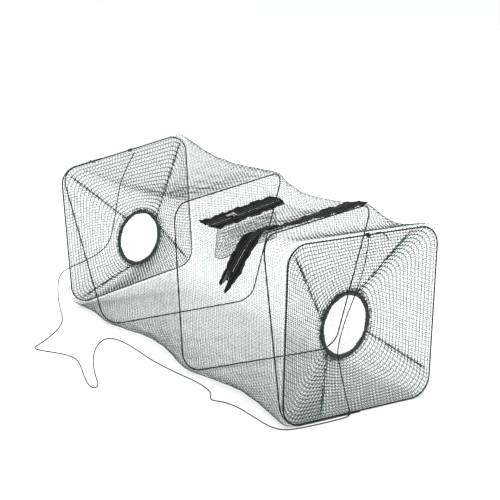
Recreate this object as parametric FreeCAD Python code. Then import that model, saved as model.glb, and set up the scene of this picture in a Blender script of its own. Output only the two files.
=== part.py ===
import FreeCAD, Part
import math
import os

# A folding crab trap: one spring-steel wire wound into a square helix, with a square loop at each end,
# inside a tube of netting. A netting funnel and a ring close each end, a bait pocket hangs under a zip in
# the top, a second zip opens the front wall and the top, and a thin haul cord joins the two end loops.
# Millimetres. +Z is up, +X runs from the far end to the near end, and -Y is the front wall.
# The origin is on the ground, under the middle of the trap.

os.makedirs("parts", exist_ok=True)
V = FreeCAD.Vector

# Driving dimensions of the trap
LENGTH = 600.0            # between the planes of the two end loops
WIDTH = 240.0             # of an end loop, centre to centre of its wire
HEIGHT = 234.0
WIRE = 2.0                # spring-steel wire
CORNER = 28.0             # bend radius at every corner of the wire
LAP_GAP = 0.15            # between two wires that lie side by side
FAR_ROLL = 11.0           # the far loop's top and bottom climb towards the back, degrees
FAR_LEAN = 5.0            # the far loop's uprights lean towards the front, degrees
FAR_SHRINK = 0.05         # the far loop is drawn in by this share
SETTLE = 0.5              # share of a bend's rise by which the twisted end settles on the ground
FAR_LAP = 72.0            # the wire's end on the far loop, from the top front corner
NEAR_LAP = 122.0          # the wire's end on the near loop, from the bottom front corner
TIE_BACK = 20.0           # a tie's distance from the end of its lapped wire
TIE_WIDTH = 6.0

# Where the wire turns each corner, as shares of the length from the far end
TURNS = {
    "front_bottom": [0.197, 0.604],
    "back_bottom": [0.292, 0.656],
    "back_top": [0.434, 0.777],
    "front_top": [0.559, 0.911],
}

# Netting
NET_GAP = 1.9             # between a wire and the netting over it
NET_CORNER = 21.0         # the net tube's corners, over bends of the slanting wire
NET_THICK = 0.5
FLOOR_GAP = 0.2           # between the lowest wire and the netting under it
NET_EDGE = 2.5            # the netting stops this far inside an end loop's plane
FRONT_DRAW = 3.2e-4       # inward draw of the front wall, per square millimetre of bay
BACK_DRAW = 1.5e-4        # inward draw of the back wall, likewise
FLOOR_DRAW = 1.2e-4       # lift of the floor's edges, likewise
ROOF_DRAW = 1.0e-4        # sag of the roof's edges, likewise
ROOF_SAG = 1.0e-4         # extra sag in the middle of the roof
ZIP_SAG = (21.0, 29.5)    # sag of the roof's middle bay under the bait zip's upper and lower edges
ZIP_BACK_SHARE = 0.35     # how much of that sag is left at the back edge

# Rings and funnels
RING = 84.0               # ring, centre to centre of its wire
RING_WIRE = 3.0
NEAR_RING_DEPTH = 33.0
FAR_RING_DEPTH = 31.0
NEAR_RING_YAW = 8.0
FAR_RING_YAW = 12.0
NEAR_RING_HEIGHT = 109.0
FAR_RING_HEIGHT = 107.0
LASHING = 0.7             # thread round a ring
LASHING_TURNS = 24
FUNNEL_THICK = 0.9        # along X

# Zips
TAPE_WIDTH = 12.0         # one tape
TAPE_THICK = 0.6
COIL_WIDTH = 3.8
COIL_HEIGHT = 1.8
ZIP_GAP = 0.25            # between a zip's pieces
SLIDER = (9.0, 7.4)       # length along the zip and width
PLATE = 1.0               # slider plate
PULL = (17.0, 3.6, 0.9)   # length, width, thickness
PULL_PIN = 1.1            # diameter
BAIT_ZIP = (V(107, -112, 219.0), V(24, 66, 221.0))
BAIT_ZIP_TILT = 16.0
ZIP_REACH = 14.0          # along X, from the bait zip's centre line to a tape's edge
BAIT_SLIDER_AT = 66.0     # from the zip's front end
POCKET_DEPTH = 52.0
POCKET_WIDTH = 16.0
ACCESS_ZIP = (V(147, -112, 143), V(205, -119, 210))
ACCESS_SLIDER_AT = 34.0
ACCESS_FORK = 2.6         # each tape's end is this far aside below the slider

# Haul cord
CORD = 1.5
KNOT = 8.0
LACE = 0.6                # thread that laces the hem to an end loop
LACE_PITCH = 15.0

BASE = NET_THICK + FLOOR_GAP + WIRE / 2    # height of the wire's centre where it lies on the ground
SIDES = {"front": -1, "back": 1}
LEVELS = {"bottom": -1, "top": 1}
EDGES = ["front_bottom", "back_bottom", "back_top", "front_top"]
WALLS = ["bottom", "back", "top", "front"]
nodes = {}


def keep(name, *solids):
    nodes[name] = Part.makeCompound(list(solids)) if len(solids) > 1 else solids[0]


# ---- the square section, which twists towards the far end

def section(x):
    """Centre height, half width, half height, across and up directions at a place along the trap."""
    ease = (0.5 - x / LENGTH) ** 2
    roll = math.radians(FAR_ROLL) * ease
    lean = math.radians(FAR_LEAN) * ease
    half_w = WIDTH / 2 * (1 - FAR_SHRINK * ease)
    half_h = HEIGHT / 2 * (1 - FAR_SHRINK * ease)
    across = V(0, math.cos(roll), math.sin(roll))
    up = V(0, -math.sin(lean), math.cos(lean))
    bend = CORNER * (math.sin(roll) + math.cos(lean) - 1) * SETTLE
    centre = BASE + half_w * math.sin(roll) + half_h * math.cos(lean) - bend
    return centre, half_w, half_h, across, up


def corner(x, edge):
    """Where the wire's two straight sides would meet at one of the four long edges."""
    side, level = edge.split("_")
    centre, half_w, half_h, across, up = section(x)
    return V(x, 0, centre) + across * (SIDES[side] * half_w) + up * (LEVELS[level] * half_h)


def turn_x(edge, number):
    return (TURNS[edge][number] - 0.5) * LENGTH


# ---- solids from paths and from grids of points

def rounded_path(points, radius=None):
    """Straight runs joined by tangent arcs. With no radius, each arc is as large as its runs allow."""
    edges, radii, start = [], [], points[0]
    for before, here, after in zip(points, points[1:], points[2:]):
        back = (before - here).normalize()
        ahead = (after - here).normalize()
        half_turn = (math.pi - back.getAngle(ahead)) / 2
        shorter = min((before - here).Length, (after - here).Length)
        size = radius or 0.45 * shorter / math.tan(half_turn)
        setback = size * math.tan(half_turn)
        enter, leave = here + back * setback, here + ahead * setback
        centre_way = (back + ahead).normalize()
        middle = here + centre_way * (size / math.cos(half_turn) - size)
        edges.append(Part.LineSegment(start, enter).toShape())
        edges.append(Part.Arc(enter, middle, leave).toShape())
        radii.append(size)
        start = leave
    edges.append(Part.LineSegment(start, points[-1]).toShape())
    return Part.Wire(edges), radii


def tube(points, diameter, radius=None):
    path, radii = rounded_path(points, radius)
    way = points[1] - points[0]
    profile = Part.Wire([Part.makeCircle(diameter / 2, points[0], way)])
    return path.makePipeShell([profile], True, False), path, radii


def skin(outer, inner, closed=False):
    """A solid sheet between two matching grids of points. A closed one joins each row's ends."""
    rows, cols = len(outer), len(outer[0])
    faces = []

    def triangle(a, b, c):
        if (b - a).cross(c - a).Length > 1e-6:
            faces.append(Part.Face(Part.makePolygon([a, b, c, a])))

    def quad(a, b, c, d):
        triangle(a, b, c)
        triangle(a, c, d)

    last = cols if closed else cols - 1
    for i in range(rows - 1):
        for j in range(last):
            k = (j + 1) % cols
            quad(outer[i][j], outer[i][k], outer[i + 1][k], outer[i + 1][j])
            quad(inner[i][j], inner[i + 1][j], inner[i + 1][k], inner[i][k])
    for j in range(last):
        k = (j + 1) % cols
        quad(outer[0][j], inner[0][j], inner[0][k], outer[0][k])
        quad(outer[-1][j], outer[-1][k], inner[-1][k], inner[-1][j])
    if not closed:
        for i in range(rows - 1):
            quad(outer[i][0], outer[i + 1][0], inner[i + 1][0], inner[i][0])
            quad(outer[i][-1], inner[i][-1], inner[i + 1][-1], outer[i + 1][-1])
    solid = Part.makeSolid(Part.makeShell(faces))
    if solid.Volume < 0:
        solid.reverse()
    return solid


class Axes:
    """A local frame: along, across and out of a surface."""

    def __init__(self, origin, along, out):
        self.origin = origin
        self.along = V(along).normalize()
        out = out - self.along * out.dot(self.along)
        self.out = out.normalize()
        self.across = self.out.cross(self.along)

    def at(self, a, b, c):
        return self.origin + self.along * a + self.across * b + self.out * c

    def plate(self, outline, low, high):
        corners = [self.at(a, b, low) for a, b in outline]
        return Part.Face(Part.makePolygon(corners + corners[:1])).extrude(self.out * (high - low))

    def block(self, a0, a1, b0, b1, c0, c1):
        return self.plate([(a0, b0), (a1, b0), (a1, b1), (a0, b1)], c0, c1)

    def rod(self, a, c, b0, b1, diameter):
        return Part.makeCylinder(diameter / 2, b1 - b0, self.at(a, b0, c), self.across)


# ---- the spring wire

def end_loop(plane, edges, lap, step):
    """One turn of the wire round an end. It closes beside its own start, where it is lapped."""
    pitch = (WIRE + LAP_GAP) * step
    first, second = corner(plane, edges[0]), corner(plane, edges[1])
    start = first + (second - first).normalize() * (CORNER + 2)
    points = [start] + [corner(plane, edge) for edge in edges[1:]] + [first]
    points.append(first + (second - first).normalize() * lap)
    total = len(points) - 1
    return [p + V(pitch * min(1.0, i / (total - 1)), 0, 0) for i, p in enumerate(points)]


far_plane, near_plane = -LENGTH / 2, LENGTH / 2
near_loop = end_loop(near_plane, EDGES, NEAR_LAP, 1)
near_loop[-1].x += 0.2
keep("near_end_loop", tube(near_loop, WIRE, CORNER)[0])
far_edges = ["front_top", "back_top", "back_bottom", "front_bottom"]
far_loop = end_loop(far_plane, far_edges, FAR_LAP, -1)
far_loop[-1].x -= 0.2
keep("far_end_loop", tube(far_loop, WIRE, CORNER)[0])

inch = (corner(far_plane, "front_top") - far_loop[0]).normalize() * 0.1
spring = [far_loop[0] + inch, corner(far_plane, "front_top")]
for turn in range(2):
    spring += [corner(turn_x(edge, turn), edge) for edge in EDGES]
spring += [corner(near_plane, "front_bottom"), near_loop[0] - V(0, 0.1, 0)]
keep("spring_turns", tube(spring, WIRE, CORNER)[0])


def lap_tie(loop):
    """A band of whipping round the two wires of a lap."""
    way = (loop[-1] - loop[-2]).normalize()
    end = loop[-1] - way * TIE_BACK
    axes = Axes(end + V(-math.copysign((WIRE + LAP_GAP) / 2, end.x), 0, 0), way, V(0, 0, 1))
    half = (WIRE + LAP_GAP) / 2 + 0.2
    wall = WIRE / 2 + 0.1

    def stadium(reach):
        box = axes.block(0, TIE_WIDTH, -half, half, -reach, reach)
        for b in (-half, half):
            round_end = Part.makeCylinder(reach, TIE_WIDTH, axes.at(0, b, 0), axes.along)
            box = box.fuse(round_end)
        return box

    return stadium(wall + 0.5).cut(stadium(wall)).removeSplitter()


keep("far_lap_tie", lap_tie(far_loop))
keep("near_lap_tie", lap_tie(near_loop))


# ---- the net tube

def bays(wall, share):
    """Where the wire crosses a wall, at a share of the way along the wall from its first edge."""
    first = EDGES[WALLS.index(wall)]
    second = EDGES[(WALLS.index(wall) + 1) % 4]
    edge_of_net = LENGTH / 2 - NET_EDGE
    starts = [turn_x(first, n) for n in range(2)]
    ends = [turn_x(second, n) for n in range(2)]
    if wall == "front":
        starts.insert(0, -edge_of_net + NET_EDGE)
        ends.append(edge_of_net - NET_EDGE)
    lines = [a + (b - a) * share for a, b in zip(starts, ends)]
    return [-edge_of_net] + lines + [edge_of_net]


def draw(wall, share, bay, place, span):
    """How far the netting lies inside its wall, part way along a bay."""
    arch = math.sin(math.pi * place) ** 1.5
    middle = 4 * share * (1 - share)
    if wall in ("front", "back"):
        return (FRONT_DRAW if wall == "front" else BACK_DRAW) * span ** 2 * arch
    if wall == "bottom":
        return FLOOR_DRAW * span ** 2 * arch * (1 - middle)
    if bay != 1:
        return (ROOF_DRAW + ROOF_SAG * middle) * span ** 2 * arch
    return zip_valley(share, place, span)


def zip_valley(share, place, span):
    """The roof's middle bay hangs in a valley under the bait zip, which crosses it."""
    y = WIDTH * (0.5 - share)
    front, back = BAIT_ZIP
    along = (y - front.y) / (back.y - front.y)
    zip_x = front.x + (back.x - front.x) * along
    wire_x = bays("top", share)[1]
    upper = (zip_x - ZIP_REACH - wire_x) / span
    lower = (zip_x + ZIP_REACH - wire_x) / span
    if place < upper:
        depth = ZIP_SAG[0] * math.sin(math.pi / 2 * place / upper)
    elif place < lower:
        depth = ZIP_SAG[0] + (ZIP_SAG[1] - ZIP_SAG[0]) * (place - upper) / (lower - upper)
    else:
        depth = ZIP_SAG[1] * math.cos(math.pi / 2 * (place - lower) / (1 - lower))
    beyond = min(1.0, max(0.0, (0.18 - share) / 0.18))
    return depth * (1 - (1 - ZIP_BACK_SHARE) * beyond)


def wall_columns(half, out, bend):
    """Points across a wall: half of the bend at each end, and the straight between them."""
    columns = []
    for turn in (43, 29, 14, 0):
        sine, cosine = math.sin(math.radians(turn)), math.cos(math.radians(turn))
        u, n = -half + bend * (1 - sine), out - bend * (1 - cosine)
        columns.append((u, n, -sine, cosine, 0.6 + 0.4 * turn / 43))
    for share in (0.2, 0.3, 0.4, 0.5, 0.6, 0.7, 0.8):
        columns.append((half * (2 * share - 1), out, 0.0, 1.0, 0.6 * abs(2 * share - 1) ** 1.5))
    for u, n, along, outward, pull in reversed(columns[:4]):
        columns.append((-u, n, -along, outward, pull))
    return columns


def wall_net(wall, steps=6):
    """One wall of the tube, drawn in between the wires that cross it."""
    number = WALLS.index(wall)
    before, after = WALLS[number - 1], WALLS[(number + 1) % 4]
    grids = []
    for lift in (NET_GAP + WIRE / 2 + NET_THICK, NET_GAP + WIRE / 2):
        rows = []
        for bay in range(len(bays(wall, 0.5)) - 1):
            first = 0 if bay == 0 else 1
            for step in range(first, steps + 1):
                rows.append(net_row(wall, before, after, bay, step / steps, lift))
        grids.append(rows)
    return skin(grids[0], grids[1])


def net_row(wall, before, after, bay, place, lift):
    row = []
    level = wall in ("bottom", "top")
    for index in range(15):
        x = 0.0
        for _ in range(3):
            centre, half_w, half_h, across, up = section(x)
            half, out = (half_w, half_h) if level else (half_h, half_w)
            u, n, along, outward, pull = wall_columns(half, out, NET_CORNER)[index]
            share = (u + half) / (2 * half)
            lines = bays(wall, share)
            x = lines[bay] + (lines[bay + 1] - lines[bay]) * place
        span = lines[bay + 1] - lines[bay]
        inward = draw(wall, share, bay, place, span)
        neighbour = before if index < 7 else after
        its_share = 1.0 if index < 7 else 0.0
        its_bay, its_place, its_span = find_bay(neighbour, its_share, x)
        aside = pull * draw(neighbour, its_share, its_bay, its_place, its_span)
        u += along * lift + (aside if index < 7 else -aside)
        n += outward * lift - inward
        turned = {"bottom": (across, up * -1), "back": (up, across),
                  "top": (across * -1, up), "front": (up * -1, across * -1)}[wall]
        point = V(x, 0, centre) + turned[0] * u + turned[1] * n
        lowest = 0.0 if lift > NET_GAP + WIRE / 2 else NET_THICK
        row.append(V(point.x, point.y, max(lowest, point.z)))
    return row


def find_bay(wall, share, x):
    lines = bays(wall, share)
    for bay in range(len(lines) - 1):
        span = lines[bay + 1] - lines[bay]
        if span > 0.01 and x <= lines[bay + 1] + 0.01:
            return bay, min(1.0, max(0.0, (x - lines[bay]) / span)), span
    return 0, 0.0, 1.0


for wall_name in WALLS:
    keep("body_net_" + wall_name, wall_net(wall_name))


# ---- rings and funnels

def ring_centre(step):
    depth, height = (NEAR_RING_DEPTH, NEAR_RING_HEIGHT) if step > 0 else (FAR_RING_DEPTH, FAR_RING_HEIGHT)
    return V(step * (LENGTH / 2 - depth), 0, height)


def ring_axes(step):
    yaw = math.radians(NEAR_RING_YAW if step > 0 else FAR_RING_YAW)
    return Axes(ring_centre(step), V(-math.sin(yaw), math.cos(yaw), 0), V(math.cos(yaw), math.sin(yaw), 0))


def ring_and_lashing(step):
    axes = ring_axes(step)
    ring = Part.makeTorus(RING / 2, RING_WIRE / 2, axes.origin, axes.out)
    turns = []
    for number in range(LASHING_TURNS):
        angle = 2 * math.pi * (number + 0.5) / LASHING_TURNS
        way = axes.along * math.cos(angle) + axes.across * math.sin(angle)
        tangent = axes.across * math.cos(angle) - axes.along * math.sin(angle)
        reach = RING_WIRE / 2 + 0.05 + LASHING / 2
        turns.append(Part.makeTorus(reach, LASHING / 2, axes.origin + way * (RING / 2), tangent))
    return ring, turns


def funnel(step):
    """Netting from just inside an end loop to just outside its ring."""
    plane = step * (LENGTH / 2 - NET_EDGE)
    centre, half_w, half_h, across, up = section(plane)
    inset = WIRE / 2 + 0.5
    outer = []
    for wall in WALLS:
        level = wall in ("bottom", "top")
        half, out = (half_w, half_h) if level else (half_h, half_w)
        turned = {"bottom": (across, up * -1), "back": (up, across),
                  "top": (across * -1, up), "front": (up * -1, across * -1)}[wall]
        for u, n, along, outward, _ in wall_columns(half, out, CORNER):
            u -= along * inset
            n -= outward * inset
            outer.append(V(plane, 0, centre) + turned[0] * u + turned[1] * n)
    axes = ring_axes(step)
    reach = RING / 2 + RING_WIRE / 2 + LASHING + 1.8
    throat = []
    for point in outer:
        spoke = V(0, point.y - axes.origin.y, point.z - axes.origin.z)
        angle = math.atan2(spoke.dot(axes.across), spoke.dot(axes.along))
        throat.append(axes.at(reach * math.cos(angle), reach * math.sin(angle), 0))
    rows = [outer, [a + (b - a) * 0.5 for a, b in zip(outer, throat)], throat]
    thick = V(-step * FUNNEL_THICK, 0, 0)
    return skin(rows, [[p + thick for p in row] for row in rows], closed=True)


for end_name, end_step in (("far", -1), ("near", 1)):
    ring_solid, lashing_turns = ring_and_lashing(end_step)
    keep(end_name + "_funnel_ring", ring_solid)
    keep(end_name + "_ring_lashing", *lashing_turns)
    keep(end_name + "_funnel_net", funnel(end_step))


# ---- zips

def slider(axes, place):
    """Saddle, underside plate and the two posts that hold the pull's pin."""
    half, wide = SLIDER[0] / 2, SLIDER[1] / 2
    roof = TAPE_THICK / 2 + COIL_HEIGHT
    saddle = axes.block(place - half, place + half, -wide, wide, roof, roof + PLATE)
    for side in (-1, 1):
        flange = sorted((side * wide, side * (COIL_WIDTH / 2 + ZIP_GAP * 2)))
        low = TAPE_THICK / 2 + ZIP_GAP
        saddle = saddle.fuse(axes.block(place - half, place + half, flange[0], flange[1], low, roof))
        post = sorted((side * (PULL[1] / 2 + ZIP_GAP), side * (PULL[1] / 2 + ZIP_GAP + 0.9)))
        top = roof + PLATE + PULL_PIN + 0.9
        saddle = saddle.fuse(axes.block(place - 0.9, place + 0.9, post[0], post[1], roof + PLATE, top))
    reach = PULL[1] / 2 + ZIP_GAP + 0.5
    pin = axes.rod(place, roof + PLATE + PULL_PIN / 2 + 0.5, -reach, reach, PULL_PIN)
    under = axes.block(place - half, place + half, -wide, wide, -TAPE_THICK / 2 - ZIP_GAP - PLATE,
                       -TAPE_THICK / 2 - ZIP_GAP)
    return [saddle.fuse(pin).removeSplitter(), under]


def pull(axes, place):
    """A flat tab with an eye on the slider's pin, lying back along the zip."""
    level = TAPE_THICK / 2 + COIL_HEIGHT + PLATE + PULL_PIN / 2 + 0.5
    length, wide, thick = PULL
    eye = axes.rod(place, level, -wide / 2, wide / 2, PULL_PIN + 1.0)
    tab = axes.block(place - length, place, -wide / 2, wide / 2, level - thick / 2, level + thick / 2)
    tip = Part.makeCylinder(wide / 2, thick, axes.at(place - length, 0, level - thick / 2), axes.out)
    hole = axes.rod(place, level, -wide, wide, PULL_PIN + 0.1)
    return eye.fuse([tab, tip]).cut(hole).removeSplitter()


bait_way = BAIT_ZIP[1] - BAIT_ZIP[0]
bait_length = bait_way.Length
flat_across = V(bait_way.y, -bait_way.x, 0).normalize()
tilt = math.radians(BAIT_ZIP_TILT)
bait_out = V(0, 0, 1) * math.cos(tilt) + flat_across * math.sin(tilt)
bait = Axes(BAIT_ZIP[0], bait_way, bait_out)
inner_edge = COIL_WIDTH / 2 + ZIP_GAP
outer_edge = inner_edge + TAPE_WIDTH
half_tape = TAPE_THICK / 2
end_cut = 10.0            # the tapes' ends are cut on the slant
upper = [(-end_cut * 0.4, outer_edge), (0, inner_edge), (bait_length, inner_edge),
         (bait_length - end_cut, outer_edge)]
lower = [(0, -inner_edge), (end_cut, -outer_edge), (bait_length - end_cut, -outer_edge),
         (bait_length, -inner_edge)]
keep("bait_zip_rear_tape", bait.plate(upper, -half_tape, half_tape))
keep("bait_zip_fore_tape", bait.plate(lower, -half_tape, half_tape))
stop = 3.0
coil_low, coil_high = -half_tape, half_tape + COIL_HEIGHT - ZIP_GAP
half_coil = COIL_WIDTH / 2


def coil_block(axes, start, end):
    """A block as wide and high as the closed coil."""
    return axes.block(start, end, -half_coil, half_coil, coil_low, coil_high)


keep("bait_zip_coil", coil_block(bait, 2 * stop, bait_length - 2 * stop))
keep("bait_zip_front_stop", coil_block(bait, stop - ZIP_GAP, 2 * stop - ZIP_GAP))
back_stop_at = bait_length - 2 * stop + ZIP_GAP
keep("bait_zip_back_stop", coil_block(bait, back_stop_at, back_stop_at + stop))
keep("bait_zip_slider", *slider(bait, BAIT_SLIDER_AT))
keep("bait_zip_pull", pull(bait, BAIT_SLIDER_AT))

access_way = ACCESS_ZIP[1] - ACCESS_ZIP[0]
straight = access_way.Length
access = Axes(ACCESS_ZIP[0], access_way, V(0, -1, 0))


def access_stations():
    """Centre, across and out at stations along the zip, up the front wall and back over the roof."""
    stations = [(access.at(a, 0, 0), access.across, access.out) for a in (0, 18, 36, 60, straight)]
    top_start = [V(218.5, -117.5, 226), V(222, -108, 236), V(219, -92, 239)]
    over = [V(213, -66, 241), V(204, -34, 241), V(192, 6, 241.5), V(180, 44, 243), V(169, 82, 245),
            V(163, 104, 245.5)]
    outs = [V(0.0, -0.85, 0.5), V(-0.2, -0.5, 0.85), V(-0.35, -0.2, 0.9)] + [V(-0.45, 0, 0.89)] * 6
    centres = top_start + over
    for number, (centre, out) in enumerate(zip(centres, outs)):
        before = centres[number - 1] if number else stations[-1][0]
        after = centres[min(number + 1, len(centres) - 1)]
        axes = Axes(centre, after - before, out)
        stations.append((centre, axes.across, axes.out))
    return stations


def ribbon(stations, near_edge, far_edge, low, high, spread=None):
    """A band along the stations, between two distances from their centre line."""
    outer, inner = [], []
    for number, (centre, across, out) in enumerate(stations):
        aside = across * (spread[number] if spread else 0.0)
        edges = [centre + aside + across * edge for edge in (near_edge, far_edge)]
        outer.append([point + out * high for point in edges])
        inner.append([point + out * low for point in edges])
    return skin(outer, inner)


zip_line = access_stations()
fork = [ACCESS_FORK, 0.6] + [0.0] * (len(zip_line) - 2)
keep("access_zip_fore_tape", ribbon(zip_line, inner_edge, outer_edge, -half_tape, half_tape, fork))
keep("access_zip_rear_tape", ribbon(zip_line, -inner_edge, -outer_edge, -half_tape, half_tape,
                                    [-value for value in fork]))
access_coil_start = 26.0   # the coil is closed from here, above the fork
coil_line = [(access.at(access_coil_start, 0, 0), access.across, access.out)] + zip_line[2:]
keep("access_zip_coil", ribbon(coil_line, -half_coil, half_coil, coil_low, coil_high))
keep("access_zip_stop", coil_block(access, access_coil_start - 2 - stop, access_coil_start - 2))
keep("access_zip_slider", *slider(access, ACCESS_SLIDER_AT))
keep("access_zip_pull", pull(access, ACCESS_SLIDER_AT))


# ---- bait pocket, hung under the zip

pocket_top = -TAPE_THICK - ZIP_GAP - PLATE - 4.0
pocket = Axes(BAIT_ZIP[0] + V(0, 0, pocket_top), V(bait_way.x, bait_way.y, 0), V(0, 0, 1))
ends = (16.0, bait_length - 16.0)
reach = POCKET_WIDTH / 2
walls = [
    pocket.block(ends[0], ends[1], -reach, -reach + 0.6, -POCKET_DEPTH, -16),
    pocket.block(ends[0], ends[1], reach - 0.6, reach, -POCKET_DEPTH, -16),
    pocket.block(ends[0], ends[0] + 0.6, -reach, reach, -POCKET_DEPTH, -16),
    pocket.block(ends[1] - 0.6, ends[1], -reach, reach, -POCKET_DEPTH, -16),
    pocket.block(ends[0], ends[1], -reach, reach, -POCKET_DEPTH, -POCKET_DEPTH + 0.6),
]
keep("bait_pocket_net", walls[0].fuse(walls[1:]).removeSplitter())


# ---- haul cord: knotted to the middle of both end loops' tops, and lying slack on the ground

cord_route = [
    V(-304.3, 10, 238), V(-306.2, 6, 229), V(-306.4, -4, 212), V(-306.6, -15, 188), V(-306.6, -22, 150),
    V(-306.8, -28, 108), V(-306.8, -42, 84), V(-306.6, -76, 69), V(-306.0, -108, 62), V(-303.5, -127, 52),
    V(-293, -134, 24), V(-276, -138, 4.5), V(-252, -146, 0.9), V(-226, -160, 1.1), V(-196, -182, 0.9),
    V(-168, -212, 1.1), V(-148, -236, 0.9), V(-138, -250, 1.1), V(-124, -247, 0.9), V(-108, -236, 1.1),
    V(-88, -222, 0.9), V(-64, -218, 1.1), V(-36, -226, 0.9), V(0, -240, 1.1), V(26, -249, 0.9),
    V(46.2, -254, 1.1), V(53.6, -252, 0.9), V(51, -245, 1.1), V(40, -239, 0.9), V(20, -231, 1.1),
    V(-14, -217, 0.9), V(-56, -196, 1.1), V(-88, -176, 0.9), V(-112, -156, 1.1), V(-124, -140, 0.9),
    V(-118, -129, 1.1), V(-98, -124, 0.9), V(-60, -124.5, 1.1), V(-8, -129, 0.9), V(48, -127, 1.1),
    V(96, -121, 0.9), V(128, -122, 1.1), V(150, -128, 0.9), V(164, -139, 1.1), V(174, -140, 0.9),
    V(181, -132, 1.1),
    V(206, -125, 1.1), V(240, -126, 0.9), V(272, -128, 1.1), V(294, -126, 0.9), V(305, -118, 1.1),
    V(309, -100, 0.9), V(310.5, -68, 1.1), V(310, -38, 0.9), V(310.5, -23, 1.5), V(307.5, -17, 5.5),
    V(301, -15, 8.5), V(294, -14, 19), V(286.5, -14, 36), V(279, -15, 57), V(269.5, -13, 73),
    V(268, -9, 90), V(273, -5, 118), V(283, 0, 150), V(292, 5, 184), V(299, 5, 212), V(302.4, 3, 230),
]
cord_solid, cord_path, cord_radii = tube(cord_route, CORD)
keep("haul_cord", cord_solid)
print("cord length", round(cord_path.Length, 1), "volume share",
      round(cord_solid.Volume / (math.pi * CORD ** 2 / 4 * cord_path.Length), 4))
print("cord radii", [round(size, 1) for size in cord_radii])


def knot(first, second, across_at, drop):
    """A hitch drawn up into a ball on the wire between two corners of an end loop."""
    way = (second - first).normalize()
    on_wire = first + way * ((across_at - first.y) / way.y)
    ball = Part.makeSphere(KNOT / 2, on_wire + drop)
    hole = Part.makeCylinder(WIRE / 2 + 0.05, 3 * KNOT, on_wire - way * (1.5 * KNOT), way)
    return ball.cut(hole)


keep("far_cord_knot", knot(far_loop[0], far_loop[1], cord_route[0].y, V(-2.2, 0, -1.5)))
tail = tube([V(305, 6.2, 236), V(307, 14, 239.5), V(308, 24, 237.5), V(308, 32, 227)], CORD)[0]
keep("near_cord_knot", knot(near_loop[2], near_loop[3], cord_route[-1].y, V(1.6, 0, -1.2)), tail)


# ---- lacing that ties the netting's hem to the end loops

def lacing(loop, lap):
    """Turns of thread round the straight stretches of an end loop, clear of its lap."""
    rings = []
    for number, (first, second) in enumerate(zip(loop, loop[1:-1])):
        way = (second - first).normalize()
        length = (second - first).Length
        begin = max(CORNER + LACE_PITCH, lap + LACE_PITCH) if number == 0 else CORNER + LACE_PITCH / 2
        end = length - CORNER - LACE_PITCH / 2
        count = int((end - begin) / LACE_PITCH) + 1
        for index in range(count):
            place = first + way * (begin + index * (end - begin) / max(1, count - 1))
            if place.z < HEIGHT / 2 or abs(place.y - 6) > KNOT:
                rings.append(Part.makeTorus(WIRE / 2 + 0.05 + LACE / 2, LACE / 2, place, way))
    return rings


keep("near_loop_lacing", *lacing(near_loop, NEAR_LAP))
keep("far_loop_lacing", *lacing(far_loop, FAR_LAP))


for name, solid in nodes.items():
    if not solid.isValid():
        print("not valid:", name)
    solid.exportStep("parts/" + name + ".step")
print(len(nodes), "nodes")
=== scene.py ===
import math

import bpy
import numpy as np
from mathutils import Matrix, Vector


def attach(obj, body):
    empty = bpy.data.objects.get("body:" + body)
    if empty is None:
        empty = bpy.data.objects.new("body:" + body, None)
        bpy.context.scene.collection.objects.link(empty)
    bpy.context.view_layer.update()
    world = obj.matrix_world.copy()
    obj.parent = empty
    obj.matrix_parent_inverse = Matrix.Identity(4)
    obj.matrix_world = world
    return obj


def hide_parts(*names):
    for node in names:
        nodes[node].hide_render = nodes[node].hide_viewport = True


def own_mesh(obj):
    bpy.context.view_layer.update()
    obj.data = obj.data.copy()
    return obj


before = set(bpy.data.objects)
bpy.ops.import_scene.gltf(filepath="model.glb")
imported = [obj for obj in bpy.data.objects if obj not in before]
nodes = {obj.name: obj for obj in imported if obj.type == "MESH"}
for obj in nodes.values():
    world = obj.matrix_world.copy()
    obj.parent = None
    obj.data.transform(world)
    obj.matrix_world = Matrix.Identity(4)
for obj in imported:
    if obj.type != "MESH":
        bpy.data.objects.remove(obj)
bpy.ops.object.select_all(action="DESELECT")
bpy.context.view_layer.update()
scene = bpy.context.scene
MM = 0.001


# ---- camera and light

def look_from(position, target, roll):
    """A camera turn that looks from one point to another, with the horizon tipped by roll degrees."""
    back = (Vector(position) - Vector(target)).normalized()
    right = Vector((0, 0, 1)).cross(back).normalized()
    up = back.cross(right)
    c, s = math.cos(math.radians(roll)), math.sin(math.radians(roll))
    axes = Matrix((right * c + up * s, up * c - right * s, back)).transposed()
    return axes.to_4x4()


CAMERA_AT = (1.5812, -1.0541, 0.6412)
CAMERA_TARGET = (0.0457, 0.0, 0.158)
camera_data = bpy.data.cameras.new("studio_camera")
camera = bpy.data.objects.new("studio_camera", camera_data)
scene.collection.objects.link(camera)
camera.matrix_world = Matrix.Translation(CAMERA_AT) @ look_from(CAMERA_AT, CAMERA_TARGET, 1.478)
camera_data.sensor_width = 36.0
camera_data.lens = 98.13
camera_data.clip_end = 60.0
scene.camera = camera


def softbox(name, position, target, width, height, watts):
    """A rectangular softbox."""
    data = bpy.data.lights.new(name, "AREA")
    data.shape, data.size, data.size_y, data.energy = "RECTANGLE", width, height, watts
    lamp = bpy.data.objects.new(name, data)
    scene.collection.objects.link(lamp)
    lamp.matrix_world = Matrix.Translation(position) @ look_from(position, target, 0)


softbox("overhead_softbox", (0.3, -0.3, 2.4), (0.0, 0.0, 0.1), 2.6, 2.2, 60)
softbox("front_softbox", (2.2, -2.6, 1.5), (0.0, 0.0, 0.1), 1.8, 1.4, 30)
world = bpy.data.worlds.new("white_studio")
world.use_nodes = True
world.node_tree.nodes["Background"].inputs["Color"].default_value = (1, 1, 1, 1)
world.node_tree.nodes["Background"].inputs["Strength"].default_value = 1.05
scene.world = world
scene.view_settings.view_transform = "Standard"


# ---- materials

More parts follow.
